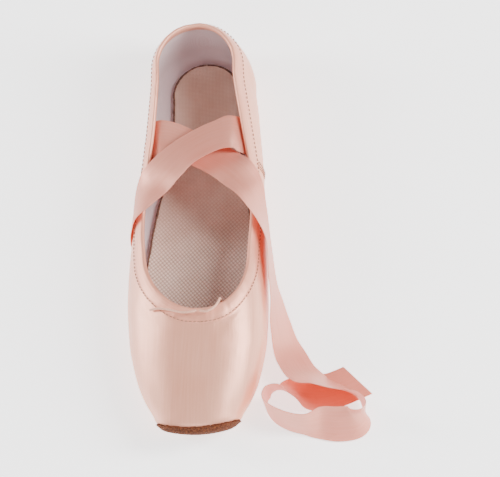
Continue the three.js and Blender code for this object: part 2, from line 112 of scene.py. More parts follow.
# ---------------------------------------------------------------- small helpers
def read(source, column, at):
    """A smooth curve through one column of a table, with no overshoot."""
    xs, ys = source["at"], source[column]
    if at <= xs[0]:
        return ys[0]
    if at >= xs[-1]:
        return ys[-1]
    i = next(k for k, x in enumerate(xs) if x > at) - 1

    def rise(n):
        return (ys[n + 1] - ys[n]) / (xs[n + 1] - xs[n])

    def slope(n):
        if n == 0:
            return rise(0)
        if n == len(xs) - 1:
            return rise(n - 1)
        a, b = rise(n - 1), rise(n)
        return 0 if a * b <= 0 else 2 * a * b / (a + b)

    step = xs[i + 1] - xs[i]
    u = (at - xs[i]) / step
    return (ys[i] * (1 + 2 * u) * (1 - u) ** 2 + slope(i) * step * u * (1 - u) ** 2
            + ys[i + 1] * u * u * (3 - 2 * u) + slope(i + 1) * step * u * u * (u - 1))


def lerp(a, b, t):
    return a + (b - a) * t


def clamp(x, low=0.0, high=1.0):
    return min(max(x, low), high)


def smoothstep(a, b, x):
    t = clamp((x - a) / (b - a))
    return t * t * (3 - 2 * t)


def evenly(a, b, n):
    return [lerp(a, b, k / n) for k in range(n + 1)]


def eased_in(a, b, n):
    """Numbers from a to b, close together near a."""
    return [a + (b - a) * (1 - math.cos(k / n * math.pi / 2)) for k in range(n + 1)]


def rough(point, scale, seed=0):
    """Smooth noise from about -1 to 1, one bump in scale millimetres."""
    return noise.noise(Vector(point) / scale + Vector((seed * 17.3, seed * 5.1, seed * 9.7)))


class Skin:
    """Collects points and faces, in millimetres, and makes one object of them."""

    def __init__(self):
        self.points, self.faces, self.uvs, self.slots = [], [], [], []

    def strip(self, one, other, uv_one=None, uv_other=None, flip=False, slot=0):
        """The faces between two lines of points. uv is each point's place on the flat cloth."""
        uv_one = uv_one or [(0, 0)] * len(one)
        uv_other = uv_other or [(0, 0)] * len(other)
        start = len(self.points)
        self.points += [Vector(p) for p in one] + [Vector(p) for p in other]
        n = len(one)
        for i in range(n - 1):
            ring = [i, n + i, n + i + 1, i + 1]
            if flip:
                ring.reverse()
            self.faces.append([start + k for k in ring])
            place = uv_one + uv_other
            self.uvs.append([place[k] for k in ring])
            self.slots.append(slot)

    def object(self, name, materials, merge=2e-3, sharp=40):
        mesh = bpy.data.meshes.new(name)
        mesh.from_pydata([p * MM for p in self.points], [], self.faces)
        layer = mesh.uv_layers.new(name="cloth")
        flat = [uv for face in self.uvs for uv in face]
        for loop, uv in zip(layer.data, flat):
            loop.uv = (uv[0] * MM, uv[1] * MM)
        for material in materials:
            mesh.materials.append(material)
        mesh.polygons.foreach_set("material_index", self.slots)
        shell = bmesh.new()
        shell.from_mesh(mesh)
        bmesh.ops.remove_doubles(shell, verts=shell.verts, dist=merge * MM)
        bmesh.ops.dissolve_degenerate(shell, edges=shell.edges, dist=merge * MM)
        shell.to_mesh(mesh)
        shell.free()
        mesh.polygons.foreach_set("use_smooth", [True] * len(mesh.polygons))
        mesh.set_sharp_from_angle(angle=math.radians(sharp))
        thing = bpy.data.objects.new(name, mesh)
        bpy.context.scene.collection.objects.link(thing)
        return thing


# ---------------------------------------------------------------- the last
def rim_inset(at, radius):
    return 0 if at >= radius else radius - math.sqrt(radius ** 2 - (radius - max(at, 0)) ** 2)


def station_y(at):
    return at - LENGTH / 2 + PATCH + GAP


STATION_CACHE = {}


def station(at):
    key = round(at, 5)
    if key not in STATION_CACHE:
        STATION_CACHE[key] = {name: read(LAST, name, at) for name in LAST if name != "at"}
    return STATION_CACHE[key]


def last_point(at, angle, side, grow=0, shift=0, rim=PLATFORM_ROUND):
    """A point of the last at a station, at an angle from -90 degrees (underside) to +90 (ridge)."""
    s = station(at)
    out = grow - rim_inset(at - shift, rim)
    power = 2 / (s["round"] if angle > 0 else UNDERSIDE_SQUARENESS)
    across = abs(math.cos(angle)) ** power
    up = abs(math.sin(angle)) ** power
    if angle > 0:
        z = s["wideZ"] + (s["top"] + out - s["wideZ"]) * up
    else:
        z = s["wideZ"] - (s["wideZ"] - s["base"] + out) * up
    turn = max(at - HEEL_START, 0) / (HEEL_END - HEEL_START) * math.pi / 2
    lean = s["lean"] * up ** 1.5 if angle > 0 else 0
    x = s["curve"] + lean + side * (s["wide"] + out) * across * math.cos(turn)
    y = station_y(min(at, HEEL_START)) + (HEEL_DEPTH + grow) * across * math.sin(turn)
    return Vector((x, y + set_back(at, x, z), z))


def set_back(at, x, z):
    """How far back a point near the platform lies: it leans under the toe and is crowned."""
    near = (1 - clamp(at / UNDERCUT["reach"])) ** 1.5
    return (UNDERCUT["slope"] * (UNDERCUT["from"] - z) + CROWN * x * x) * near


def angle_of(share, power):
    return math.acos(clamp(share) ** (power / 2))


def seam_angle(at, width=BINDING_WIDTH):
    """The angle of a line that runs this far under the collar's edge."""
    front = THROAT - width
    if at <= front:
        return math.pi / 2
    s = station(at)
    collar = angle_of(read(COLLAR, "share", at), s["round"])
    rise = s["top"] - s["wideZ"]
    per_radian = math.hypot(s["wide"] * math.sin(collar), rise * math.cos(collar))
    share = math.cos(collar - width / per_radian) ** (2 / s["round"])
    left = 1 - clamp((at - front) / (THROAT_CURVE + width))
    opening = (1 - left ** THROAT_SQUARENESS) ** (1 / THROAT_SQUARENESS)
    return angle_of(share * opening, s["round"])


def lasting_angle(at):
    if at <= OPEN_UNDER:
        return -math.pi / 2
    start = 1 - min((at - OPEN_UNDER) / OUTSOLE["tip"], 1)
    half = (read(FOOT, "outsole", min(at, HEEL_START)) - LASTING_MARGIN) * math.sqrt(1 - start ** 2)
    return -angle_of(half / station(at)["wide"], UNDERSIDE_SQUARENESS)


def half_section(at, low, high, rows, side, **surface):
    """Points spaced evenly along a half section, and how far each lies from the ridge."""
    fine = [last_point(at, angle, side, **surface) for angle in evenly(low, high, 90)]
    along = [0]
    for a, b in zip(fine, fine[1:]):
        along.append(along[-1] + (b - a).length)
    ridge = last_point(at, math.pi / 2, side, **surface)
    over = sum(
        (last_point(at, b, side, **surface) - last_point(at, a, side, **surface)).length
        for a, b in zip(evenly(high, math.pi / 2, 12), evenly(high, math.pi / 2, 12)[1:])
    ) if (fine[-1] - ridge).length > 1e-6 else 0
    points, far, i = [], [], 1
    for want in evenly(0, along[-1], rows):
        while i < 90 and along[i] < want:
            i += 1
        span = along[i] - along[i - 1]
        points.append(fine[i - 1].lerp(fine[i], (want - along[i - 1]) / span if span else 0))
        far.append(over + along[-1] - want)
    return points, far


# ---------------------------------------------------------------- creases, in the shoe's own millimetres
# A soft trough (depth above 0) or ridge (below 0) along a short line on the surface.
CREASES = table("x y z x2 y2 z2 wide depth", [
    # ripples beside the throat, on the side of the ribbons
    (12, -68, 45, 27, -52, 40, 1.3, 0.45),
    (13, -71.5, 43.5, 29.5, -54, 37.5, 1.3, 0.42),
    (15, -75.5, 42, 31.5, -57, 35, 1.4, 0.38),
    (17, -80, 40, 32.5, -62, 33, 1.5, 0.3),
    (-28, -46, 40, -16, -62, 45, 1.6, 0.34),
    (-31, -50, 36, -20, -66, 43, 1.8, 0.3),
    # drag lines at the corners of the platform
    (23, -112, 20, 31, -90, 24, 2.2, 0.35),
    (20, -113, 26, 27, -92, 32, 2.4, 0.28),
    (-22, -112, 20, -30, -90, 24, 2.2, 0.35),
    (-19, -113, 26, -26, -92, 32, 2.6, 0.25),
    # the waist, where the sides are drawn in to the arch
    (38, 10, 12, 34, 26, 24, 3.0, 0.55),
    (37, 20, 11, 32, 38, 26, 3.2, 0.6),
    (35.5, 32, 10, 31, 50, 24, 3.0, 0.5),
    (-34, 10, 12, -31, 26, 24, 3.0, 0.5),
    (-33, 22, 11, -29, 40, 26, 3.2, 0.55),
    (-31, 34, 10, -27, 52, 24, 3.0, 0.5),
    # the heel, pulled in by the drawstring
    (22, 104, 44, 29, 88, 34, 2.6, 0.45),
    (18, 111, 36, 28, 97, 27, 2.6, 0.35),
    (-15, 104, 44, -22, 88, 34, 2.6, 0.45),
    (-11, 111, 36, -21, 97, 27, 2.6, 0.35),
])
CREASE_LINES = [
    (Vector((x, y, z)), Vector((x2, y2, z2)), wide, depth)
    for x, y, z, x2, y2, z2, wide, depth in zip(*CREASES.values())
]


def creased(point):
    """How far the creases sink the cloth at a point."""
    sunk = 0
    for start, end, wide, depth in CREASE_LINES:
        line = end - start
        t = clamp((point - start).dot(line) / line.length_squared, 0.0, 1.0)
        away = (point - start - line * t).length
        if away < 3 * wide + 4:
            near = math.exp(-(max(away - 1.2, 0) / wide) ** 2)
            sunk += depth * near * math.sin(math.pi * clamp(t, 0.04, 0.96)) ** 0.6
    return sunk


def pleated(point, angle):
    """Pleats under the toe, drawn together towards the front of the outsole."""
    at = point.y + LENGTH / 2 - PATCH - GAP
    start, end = PLEATS["start"], PLEATS["end"]
    under = smoothstep(-0.15, -0.9, angle) * smoothstep(start, start + 6, at) * smoothstep(end, end - 10, at)
    if under <= 0:
        return 0
    around = math.atan2(point.x, OPEN_UNDER + 16 - at)
    fold = math.sin(around * PLEATS["per_radian"] + 0.6 * rough(point, 9))
    return under * PLEATS["depth"] * abs(fold) ** 0.7


# ---------------------------------------------------------------- materials
class Graph:
    """Builds a node material. Inputs are given by name, as a socket to join or a constant."""

    def __init__(self, name):
        self.material = bpy.data.materials.new(name)
        self.material.use_nodes = True
        self.tree = self.material.node_tree
        self.tree.nodes.clear()
        self.place = self.add("TexCoord").outputs

    def add(self, kind, inputs=None, **settings):
        node = self.tree.nodes.new("ShaderNode" + kind)
        for name, value in settings.items():
            setattr(node, name, value)
        for name, value in (inputs or {}).items():
            if isinstance(value, bpy.types.NodeSocket):
                self.tree.links.new(value, node.inputs[name])
            else:
                node.inputs[name].default_value = value
        return node

    def math(self, operation, a, b=0.0):
        return self.add("Math", {0: a, 1: b}, operation=operation).outputs[0]

    def scaled(self, source, scale):
        return self.add("Mapping", {"Vector": source, "Scale": scale}).outputs[0]

    def noise(self, where, scale, detail=2.0, roughness=0.5):
        return self.add(
            "TexNoise", {"Vector": where, "Scale": scale, "Detail": detail, "Roughness": roughness}
        ).outputs["Fac"]

    def ramp(self, value, stops):
        node = self.add("ValToRGB", {"Fac": value})
        ramp = node.color_ramp
        while len(ramp.elements) < len(stops):
            ramp.elements.new(1.0)
        for element, (where, colour) in zip(ramp.elements, stops):
            element.position = where
            element.color = (*colour, 1)
        return node.outputs["Color"]

    def mix(self, share, a, b):
        node = self.add("Mix", data_type="RGBA")
        for k, value in ((0, share), (6, a), (7, b)):
            if isinstance(value, bpy.types.NodeSocket):
                self.tree.links.new(value, node.inputs[k])
            else:
                node.inputs[k].default_value = value if k == 0 else (*value, 1)
        return node.outputs[2]

    def bump(self, height, depth, normal=None):
        """depth is the height of the pattern in metres."""
        inputs = {"Height": height, "Strength": 1.0, "Distance": depth}
        if normal:
            inputs["Normal"] = normal
        return self.add("Bump", inputs).outputs[0]

    def surface(self, shader):
        self.add("OutputMaterial", {"Surface": shader.outputs[0]})
        return self.material


def satin(name, pale, deep, glow=None, gloss=0.36, aniso=0.55, selvedge=0.0, painted_side_shade=None):
    """Satin: long threads along the cloth, and a soft streaked shine.

    glow is the colour of light that comes through it. selvedge is how far a ribbon's edge lies from its
    middle, in metres. The last argument is painted shade: a deeper, warmer colour mixed in where the cloth
    stands upright, for the shade on its sides.
    """
    g = Graph(name)
    cloth = g.place["UV"]
    threads = g.noise(g.scaled(cloth, (90, 5200, 1)), 1.0, 2.0)
    slubs = g.noise(g.scaled(cloth, (35, 900, 1)), 1.0, 3.0)
    patches = g.noise(g.place["Object"], 28, 3.0)
    tint = g.math("ADD", g.math("MULTIPLY", slubs, 0.5), g.math("MULTIPLY", patches, 0.5))
    colour = g.ramp(tint, [(0.3, deep), (0.68, pale)])
    # Painted shade: cloth that stands upright is mixed up to 60% towards a deeper, warmer colour, for the
    # shade on the shoe's sides.
    if painted_side_shade:
        upright = g.add("SeparateXYZ", {"Vector": g.place["Normal"]}).outputs["Z"]
        side_shade_mask = g.add("MapRange", {"Value": upright, "From Min": 0.42, "From Max": 0.05}).outputs[0]
        colour = g.mix(g.math("MULTIPLY", side_shade_mask, 0.6), colour, painted_side_shade)
    shine = g.math("ADD", g.math("MULTIPLY", threads, 0.1), gloss - 0.05)
    fine = g.bump(threads, 0.00004)
    soft = g.bump(slubs, 0.00006, fine)
    soft = g.bump(g.noise(g.place["Object"], 70, 2.0), 0.00025, soft)
    if selvedge:
        v = g.add("SeparateXYZ", {"Vector": cloth}).outputs["Y"]
        edge = g.math("GREATER_THAN", g.math("ABSOLUTE", v), selvedge)
        soft = g.bump(edge, 0.0001, soft)
        shine = g.math("ADD", shine, g.math("MULTIPLY", edge, 0.12))
    tangent = g.add("Tangent", direction_type="UV_MAP", uv_map="cloth").outputs[0]
    skin = g.add("BsdfPrincipled", {
        "Base Color": colour, "Roughness": shine, "Anisotropic": aniso,
        "Tangent": tangent, "Normal": soft, "Specular IOR Level": 0.6, "Metallic": 0.3,
        "Sheen Weight": 0.12, "Sheen Roughness": 0.35, "Sheen Tint": (1.0, 0.85, 0.78, 1),
    })
    if not glow:
        return g.surface(skin)
    through = g.add("BsdfTranslucent", {"Color": (*glow, 1), "Normal": soft})
    return g.surface(g.add("MixShader", {"Fac": 0.28, 1: skin.outputs[0], 2: through.outputs[0]}))


def woven(name, pale, deep, period, depth, rough_at=0.85, coarse=None):
    """Plain woven cloth. period is in millimetres, and depth in metres.

    coarse is (start, end, period): the coarser weave in front, which fades out between two y in metres.
    """
    g = Graph(name)
    x, y, _ = g.add("SeparateXYZ", {"Vector": g.place["Object"]}).outputs

    def weave(size, skew=0.0):
        k = 2 * math.pi / (size * MM)
        a = g.math("SINE", g.math("MULTIPLY", g.math("ADD", x, g.math("MULTIPLY", y, skew)), k))
        b = g.math("SINE", g.math("MULTIPLY", g.math("SUBTRACT", y, g.math("MULTIPLY", x, skew)), k))
        return g.math("POWER", g.math("ABSOLUTE", g.math("MULTIPLY", a, b)), 0.7)

    height = weave(period)
    if coarse:
        start, end, size = coarse
        back = g.add("MapRange", {"Value": y, "From Min": start, "From Max": end}).outputs[0]
        front = weave(size, 0.8)
        height = g.math("ADD", g.math("MULTIPLY", height, back),
                        g.math("MULTIPLY", front, g.math("SUBTRACT", 1.0, back)))
        height = g.math("MULTIPLY", height, g.math("SUBTRACT", 1.0, g.math("MULTIPLY", back, 0.55)))
    blotches = g.noise(g.place["Object"], 45, 4.0)
    colour = g.ramp(g.math("ADD", g.math("MULTIPLY", height, 0.5), g.math("MULTIPLY", blotches, 0.5)),
                    [(0.22, deep), (0.78, pale)])
    normal = g.bump(height, depth, g.bump(g.noise(g.place["Object"], 900, 2.0), 0.0001))
    return g.surface(g.add("BsdfPrincipled", {
        "Base Color": colour, "Roughness": rough_at, "Normal": normal, "Specular IOR Level": 0.25,
        "Sheen Weight": 0.3, "Sheen Roughness": 0.5,
    }))


def grained(name, colours, grain, depth, roughness, wear=None):
    """Leather and suede: grains of several tints, raised by depth."""
    g = Graph(name)
    where = g.place["Object"]
    grains = g.noise(where, grain, 4.0, 0.65)
    cells = g.add("TexVoronoi", {"Vector": where, "Scale": grain * 0.8}).outputs["Distance"]
    speckle = g.math("ADD", g.math("MULTIPLY", grains, 0.75), g.math("MULTIPLY", cells, 0.3))
    colour = g.ramp(speckle, list(zip((0.28, 0.5, 0.74), colours)))
    if wear:
        worn = g.ramp(g.noise(where, 60, 5.0, 0.7), [(0.5, (0, 0, 0)), (0.72, (1, 1, 1))])
        colour = g.mix(worn, colour, wear)
    normal = g.bump(speckle, depth, g.bump(g.noise(where, grain * 0.18, 3.0), depth * 1.5))
    return g.surface(g.add("BsdfPrincipled", {
        "Base Color": colour, "Roughness": roughness, "Normal": normal, "Specular IOR Level": 0.3,
    }))


SATIN = satin("satin", (0.93, 0.45, 0.315), (0.82, 0.34, 0.225), painted_side_shade=(0.85, 0.29, 0.12))
BINDING_SATIN = satin("binding_satin", (0.92, 0.42, 0.29), (0.8, 0.31, 0.205), gloss=0.42, aniso=0.3)
RIBBON_SATIN = satin("ribbon_satin", (0.95, 0.45, 0.34), (0.86, 0.35, 0.25), glow=(0.95, 0.33, 0.18),
                     gloss=0.34, aniso=0.6, selvedge=0.0101)
LINING = woven("lining", (0.86, 0.7, 0.71), (0.74, 0.57, 0.59), 0.55, 0.00012)
CANVAS = woven("insole_canvas", (0.97, 0.76, 0.66), (0.52, 0.32, 0.24), 1.6, 0.0003, 0.8,
               coarse=(-0.01, 0.05, 4.2))
SUEDE = grained("suede", [(0.02, 0.005, 0.002), (0.11, 0.028, 0.01), (0.25, 0.075, 0.022)],
                1300, 0.0012, 0.95)
SOLE = grained("sole_leather", [(0.12, 0.06, 0.035), (0.26, 0.14, 0.085), (0.36, 0.21, 0.13)], 900, 0.0002,
               0.55, wear=(0.42, 0.27, 0.18))
# Painted shade, in part: the insole's edge cord is dark both for its thread and for the shadow in the gap at
# the insole's edge.
EDGE_THREAD_AND_GAP_SHADE = grained("edge_thread_and_gap_shade", [(0.05, 0.025, 0.02), (0.12, 0.06, 0.045), (0.26, 0.15, 0.11)], 2500,
                      0.0002, 0.9)
THREAD = grained("thread", [(0.16, 0.06, 0.035), (0.36, 0.16, 0.1), (0.6, 0.32, 0.22)], 3000, 0.0001, 0.6)
STRING = grained("string", [(0.6, 0.28, 0.19), (0.8, 0.42, 0.3), (0.88, 0.52, 0.39)], 2600, 0.0002, 0.7)


def hold(piece, slot, *nodes):
    """The piece rides on the shoe and stands for CAD nodes, which it hides. slot is not used."""
    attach(piece, "root")
    if nodes:
        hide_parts(*nodes)
    return piece


# ---------------------------------------------------------------- the upper
STATIONS = [
    *eased_in(0, PLATFORM_ROUND, 6),
    *evenly(PLATFORM_ROUND, OPEN_UNDER, 18)[1:],
    *eased_in(OPEN_UNDER, OPEN_UNDER + OUTSOLE["tip"], 12)[1:],
    *evenly(OPEN_UNDER + OUTSOLE["tip"], SEAM + TUCKED, 6)[1:],
    *eased_in(SEAM + TUCKED, THROAT + THROAT_CURVE, 26)[1:],
    *evenly(THROAT + THROAT_CURVE, HEEL_START, 62)[1:],
    *evenly(HEEL_START, HEEL_END, 24)[1:],
]
ROWS_BELOW, ROWS_ABOVE = 16, 26


def skin_lines(side, surface, finish):
    """The lines of points of one side of a surface, one for each station, and their places on the cloth."""
    lines, places = [], []
    for at in STATIONS:
        where, options = surface(at)
        high = seam_angle(where, BINDING_WIDTH - TUCKED)
        below, far_below = half_section(where, lasting_angle(at), 0, ROWS_BELOW, side, **options)
        above, far = half_section(where, 0, high, ROWS_ABOVE, side, **options)
        far_below = [d + far[0] - far_below[-1] for d in far_below]
        line = below + above[1:]
        angles = evenly(lasting_angle(at), 0, ROWS_BELOW) + evenly(0, high, ROWS_ABOVE)[1:]
        lines.append([finish(p, angle, at, side) for p, angle in zip(line, angles)])
        places.append([(at, side * d) for d in far_below + far[1:]])
    return lines, places


def towards_middle(rim, at, share):
    """A ring of a crowned end, this share of the way from its middle to its rim."""
    height = (rim[0].z + rim[-1].z) / 2
    ring = []
    for p in rim:
        x, z = p.x * share, lerp(height, p.z, share)
        ring.append(Vector((x, p.y + set_back(at, x, z) - set_back(at, p.x, p.z), z)))
    return ring


def outward(point, side):
    """Roughly the way out of the shoe at a point of its surface."""
    at = point.y + LENGTH / 2 - PATCH - GAP
    s = station(clamp(at, 0, HEEL_END))
    out = Vector(((point.x - s["curve"]) / s["wide"] ** 1.6, 0, (point.z - s["wideZ"]) / 26 ** 1.6))
    if at > HEEL_START:
        out.y = (at - HEEL_START) / HEEL_DEPTH ** 1.6
    return out.normalized() if out.length > 1e-9 else Vector((0, 0, 1))


def satin_finish(point, angle, at, side):
    out = outward(point, side)
    sunk = creased(point) + pleated(point, angle)
    loose = smoothstep(70, 120, at) * (0.14 * rough(point, 16, 1) + 0.08 * rough(point, 7, 2))
    behind = at - SIDE_SEAM
    seam = 0.3 * math.exp(-(behind / 1.1) ** 2) - 0.25 * math.exp(-((behind - 2.2) / 0.8) ** 2)
    back = 0.25 * math.exp(-((at - HEEL_END) / 1.6) ** 2)
    return point + out * (loose + seam + back - sunk)


def lining_finish(point, angle, at, side):
    folds = 0.35 * rough((point.x, point.y, point.z * 0.25), 9, 3) * smoothstep(60, 110, at)
    return point + outward(point, side) * folds


def make_upper():
    skin = Skin()
    end = len(STATIONS) - 1

    def outer(at):
        return at, {}

    def inner(at):
        where = lerp(PLATFORM_WALL, OPEN_UNDER, at / OPEN_UNDER) if at < OPEN_UNDER else at
        return where, {"grow": -WALL, "shift": PLATFORM_WALL, "rim": PLATFORM_ROUND_INSIDE}

    for side in (-1, 1):
        out, cloth = skin_lines(side, outer, satin_finish)
        within, flat = skin_lines(side, inner, lining_finish)
        for i in range(end):
            skin.strip(out[i], out[i + 1], cloth[i], cloth[i + 1], side < 0)
            skin.strip(within[i], within[i + 1], flat[i], flat[i + 1], side > 0, 1)
            if STATIONS[i + 1] > OPEN_UNDER:
                skin.strip([out[i][0], within[i][0]], [out[i + 1][0], within[i + 1][0]], flip=side < 0)
            if STATIONS[i + 1] > SEAM + TUCKED:
                skin.strip([out[i][-1], within[i][-1]], [out[i + 1][-1], within[i + 1][-1]], flip=side > 0)
        for rim, at, slot in ((out[0], 0, 0), (within[0], PLATFORM_WALL, 1)):
            rings = [towards_middle(rim, at, share) for share in evenly(0, 1, 6)]
            for a, b in zip(rings, rings[1:]):
                skin.strip(a, b, flip=(side < 0) == (slot == 0), slot=slot)
    return hold(skin.object("upper_satin", [SATIN, LINING]), "satin", "upper")


make_upper()


# ---------------------------------------------------------------- the binding
def collar_path(steps_front=44, steps_side=84):
    """Places along the collar: (station under the seam, its share, station at the edge, its share, t)."""
    path = []
    for k in range(steps_front):
        q = k / steps_front * math.pi / 2
        forward = 1 - math.cos(q) ** (2 / THROAT_SQUARENESS)
        opened = math.sin(q) ** (2 / THROAT_SQUARENESS)
        seam = SEAM + (THROAT_CURVE + BINDING_WIDTH) * forward
        path.append((seam, THROAT + THROAT_CURVE * forward, opened))
    for at in evenly(THROAT + THROAT_CURVE, HEEL_END, steps_side):
        path.append((at, at, 1.0))
    return path


PATH = collar_path()


def band_point(place, along, grow, side):
    """A point of the casing: along mm up from its seam towards the collar's edge, grow mm out."""
    low_at, high_at, opened = place
    low = seam_angle(low_at) if low_at > SEAM else math.pi / 2
    share = read(COLLAR, "share", high_at) * opened
    high = angle_of(share, station(high_at)["round"])
    t = along / BINDING_WIDTH
    return last_point(lerp(low_at, high_at, t), lerp(low, high, t), side, grow)


def casing_section(count=11):
    """(along, grow) round the casing's rounded section."""
    r = BINDING_THICKNESS / 2
    middle = -WALL / 2
    ring = []
    for k in range(count + 1):
        bulge = 0.25 * math.sin(math.pi * k / count)
        ring.append((lerp(r, BINDING_WIDTH - r, k / count), middle + r + bulge))
    for k in range(1, 8):
        turn = math.pi * (0.5 - k / 8)
        ring.append((BINDING_WIDTH - r + r * math.cos(turn), middle + r * math.sin(turn)))
    for k in range(count + 1):
        ring.append((lerp(BINDING_WIDTH - r, r, k / count), middle - r))
    for k in range(1, 6):
        turn = math.pi * (1.5 - k / 6)
        ring.append((r + r * math.cos(turn), middle + r * math.sin(turn)))
    return ring + ring[:1]


def pucker(place, along, side):
    """Small gathers across the casing, drawn up by the string, most of all at the throat."""
    low_at, high_at, opened = place
    run = side * (high_at if opened >= 1 else THROAT + 60 * opened)
    at_throat = lerp(0.3, 0.12, smoothstep(70, 130, low_at))
    strength = at_throat + 0.2 * smoothstep(215, 235, high_at)
    return strength * (rough((run, along * 0.35, 0), 3.2, 4) + 0.6 * rough((run, along * 0.2, 9), 7, 5))


def make_binding():
    skin = Skin()
    section = casing_section()
    for side in (-1, 1):
        lines, places, run = [], [], 0
        for k, place in enumerate(PATH):
            if k:
                run += (band_point(place, 5, 0, side) - band_point(PATH[k - 1], 5, 0, side)).length
            line = []
            for along, grow in section:
                lift = pucker(place, along, side) * smoothstep(0, 2, along) if grow > -WALL / 2 else 0
                line.append(band_point(place, along, grow + lift, side))
            lines.append(line)
            places.append([(run, side * along) for along, _ in section])
        for i in range(len(lines) - 1):
            skin.strip(lines[i], lines[i + 1], places[i], places[i + 1], side < 0)
    return hold(skin.object("binding_casing", [BINDING_SATIN], sharp=60), "binding_satin", "binding")


make_binding()


# ---------------------------------------------------------------- stitches
def stitch(skin, start, end, thick, sag=0.12):
    """One short stitch of thread between two points on a surface."""
    line = end - start
    up = Vector((0, 0, 1)) if abs(line.normalized().z) < 0.8 else Vector((1, 0, 0))
    side = line.cross(up).normalized() * thick / 2
    top = side.cross(line).normalized() * thick / 2
    rings = []
    for t, size in ((0.0, 0.3), (0.15, 0.9), (0.5, 1.0), (0.85, 0.9), (1.0, 0.3)):
        middle = start + line * t + top * (2 * sag * math.sin(math.pi * t) / thick)
        rings.append([
            middle + side * size * math.cos(a) + top * size * math.sin(a) for a in evenly(0, 2 * math.pi, 6)
        ])
    for a, b in zip(rings, rings[1:]):
        skin.strip(a, b)


def even_run(points, pitch):
    """Points at an even pitch along a line of points."""
    out, left = [points[0]], pitch
    for a, b in zip(points, points[1:]):
        span, gone = (b - a).length, 0
        while span - gone >= left:
            gone += left
            out.append(a.lerp(b, gone / span))
            left = pitch
        left -= span - gone
    return out


def sew(skin, points, pitch=2.4, fill=0.66, thick=0.6):
    marks = even_run(points, pitch)
    for a, b in zip(marks, marks[1:]):
        stitch(skin, a, a.lerp(b, fill), thick)


def make_stitches():
    skin = Skin()
    for side in (-1, 1):
        # along the lower edge of the casing
        sew(skin, [band_point(p, 0.9, 0.72 + 0.5 * pucker(p, 0.9, side), side) for p in PATH])
        # the side seam's rows, and the seam down the back of the heel
        for k, offset in enumerate(SEAM_ROWS):
            at = SIDE_SEAM + offset
            low, high = -0.25, seam_angle(at) - 0.02
            sew(skin, [satin_finish(last_point(at, a, side, 0.12), a, at, side)
                       for a in evenly(high, low, 40)], 2.0 + 0.1 * k, 0.7, 0.5)
        at = HEEL_END - 2.4
        sew(skin, [last_point(at, a, side, 0.2) for a in evenly(seam_angle(at), -0.9, 40)], 2.2, 0.65, 0.36)
    return hold(skin.object("stitches", [THREAD], merge=1e-4, sharp=80), "satin")


make_stitches()


# ---------------------------------------------------------------- insole and outsole
def underside_z(at, x, grow):
    s = station(min(at, HEEL_END))
    back = max(at - HEEL_START, 0) / (HEEL_DEPTH + grow)
    across = min(math.hypot(x / (s["wide"] + grow), back), 1)
    depth = s["wideZ"] - s["base"] + grow
    return s["wideZ"] - depth * (1 - across ** UNDERSIDE_SQUARENESS) ** (1 / UNDERSIDE_SQUARENESS)


def foot_width(at, column, size):
    if at <= size["front"] or at >= size["back"]:
        return 0
    start = 1 - min((at - size["front"]) / size["tip"], 1)
    heel = max(at - HEEL_START, 0) / (size["back"] - HEEL_START)
    return read(FOOT, column, at) * math.sqrt(1 - start ** 2) * math.sqrt(1 - heel ** 2)


SHARES = [math.sin(a) for a in evenly(-math.pi / 2, math.pi / 2, 36)]


def make_plate(name, column, size, top, bottom, material, ragged, slot, node):
    """A plate with rounded ends and softened edges."""
    skin = Skin()
    stations = [
        *eased_in(size["front"], size["front"] + size["tip"], 16),
        *evenly(size["front"] + size["tip"], HEEL_START, 90)[1:],
        *eased_in(size["back"], HEEL_START, 18)[::-1][1:],
    ]
    lines = []
    for at in stations:
        half = foot_width(at, column, size)
        curve = station(min(at, HEEL_END))["curve"]
        line = []
        for height, shares, soft in ((bottom, SHARES, 0.35), (top, SHARES[::-1], -0.35)):
            for share in shares:
                edge = smoothstep(0.93, 1.0, abs(share)) * (1 if half else 0)
                x = share * half
                wander = ragged * rough((math.copysign(1, share) * 40, at, 0), 2.6, 6) * edge
                z = height(at, x) + soft * edge
                line.append(Vector((curve + x + math.copysign(wander, share), station_y(at), z)))
        lines.append(line + line[:1])
    for a, b in zip(lines, lines[1:]):
        skin.strip(a, b)
    return hold(skin.object(name, [material], sharp=50), slot, node)


def insole_bottom(at, x):
    return underside_z(at, x, -WALL - INSOLE["lift"])


def insole_top(at, x):
    soft = 0.12 * rough((x, at, 0), 14, 7) - 0.25 * math.exp(-((at - 70) / 22) ** 2 - (x / 14) ** 2)
    return insole_bottom(at, x) + INSOLE["thickness"] + soft


def outsole_bottom(at, x):
    half = max(read(FOOT, "outsole", at), 1)
    groove = 0.35 * math.exp(-((abs(x) - (half - 3.2)) / 0.5) ** 2) if 40 < at < 205 else 0
    return station(min(at, HEEL_END))["base"] - GAP - OUTSOLE["thickness"] + groove


make_plate("insole_cloth", "insole", INSOLE, insole_top, insole_bottom,
           CANVAS, 0.35, "insole_canvas", "insole")
make_plate("outsole_leather", "outsole", OUTSOLE, lambda at, x: underside_z(at, x, GAP), outsole_bottom,
           SOLE, 0.12, "sole_leather", "outsole")


